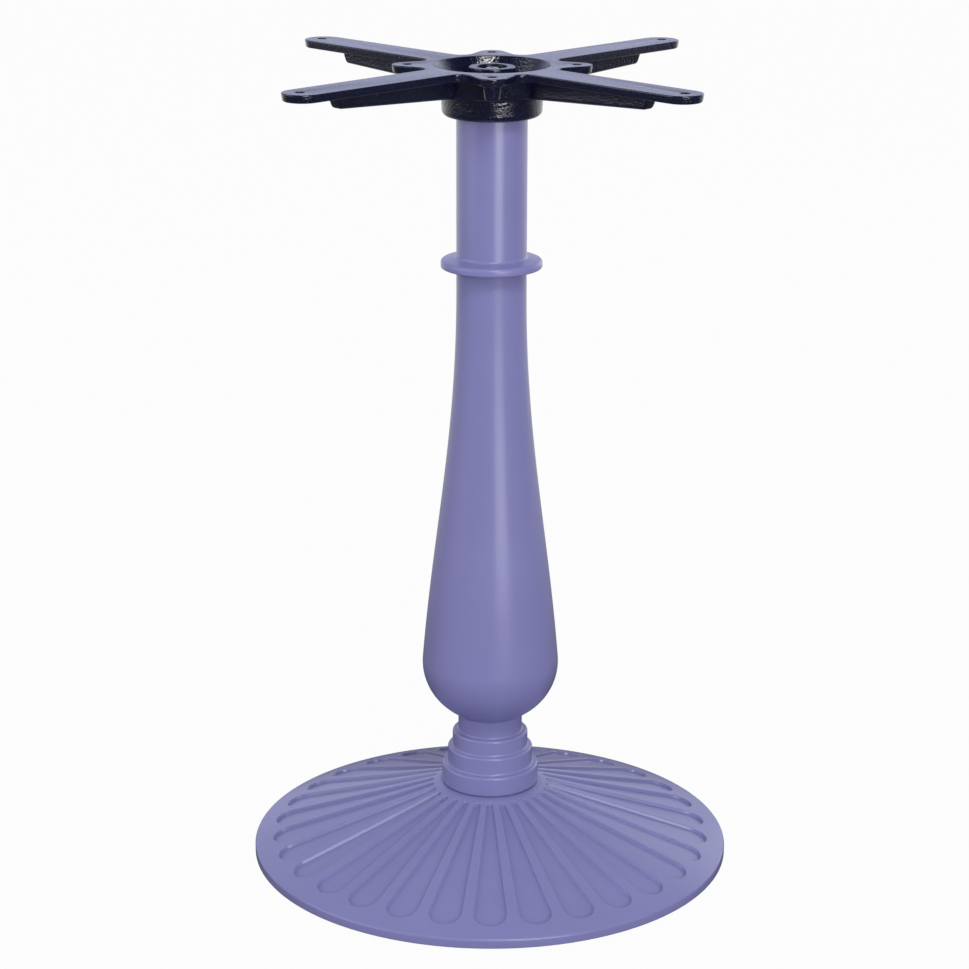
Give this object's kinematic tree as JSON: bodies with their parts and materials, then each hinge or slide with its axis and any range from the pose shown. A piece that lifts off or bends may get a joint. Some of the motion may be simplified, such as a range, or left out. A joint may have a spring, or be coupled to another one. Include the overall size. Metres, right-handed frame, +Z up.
{
  "type": "pedestal table base",
  "caption": "Cast-iron pedestal table base: fluted cone foot, turned-look column with bulb and ring, and a four-armed top spider with screw holes.",
  "frame": {"origin": "on the floor, on the column's axis", "axes": "+Z up along the column; the spider's arms lie along the diagonals of X and Y, its ears along X and Y; -Y is the front in the picture"},
  "size_m": [0.4288, 0.4288, 0.72],
  "materials": {
    "lavender_coat": "satin lavender powder coat over cast iron",
    "black_coat": "black paint over rough sand-cast iron",
    "zinc_steel": "bright zinc-plated steel",
    "glide_plastic": "moulded black nylon"
  },
  "bodies": {
    "stand": {"fluted_base": "lavender_coat", "column": "lavender_coat", "spider": "black_coat", "tie_rod": "zinc_steel", "top_nut": "zinc_steel", "top_spring_washer": "zinc_steel", "top_washer": "zinc_steel", "bottom_washer": "zinc_steel", "bottom_spring_washer": "zinc_steel", "bottom_nut": "zinc_steel"},
    "levelling_foot_1": {"levelling_bolt_1": "zinc_steel", "glide_pad_1": "glide_plastic"},
    "levelling_foot_2": {"levelling_bolt_2": "zinc_steel", "glide_pad_2": "glide_plastic"},
    "levelling_foot_3": {"levelling_bolt_3": "zinc_steel", "glide_pad_3": "glide_plastic"},
    "levelling_foot_4": {"levelling_bolt_4": "zinc_steel", "glide_pad_4": "glide_plastic"}
  },
  "joints": [
    {"name": "foot_1_height", "type": "slide", "parent": "stand", "child": "levelling_foot_1", "axis": [0, 0, -1], "range_m": [0, 0.006]},
    {"name": "foot_2_height", "type": "slide", "parent": "stand", "child": "levelling_foot_2", "axis": [0, 0, -1], "range_m": [0, 0.006]},
    {"name": "foot_3_height", "type": "slide", "parent": "stand", "child": "levelling_foot_3", "axis": [0, 0, -1], "range_m": [0, 0.006]},
    {"name": "foot_4_height", "type": "slide", "parent": "stand", "child": "levelling_foot_4", "axis": [0, 0, -1], "range_m": [0, 0.006]}
  ]
}
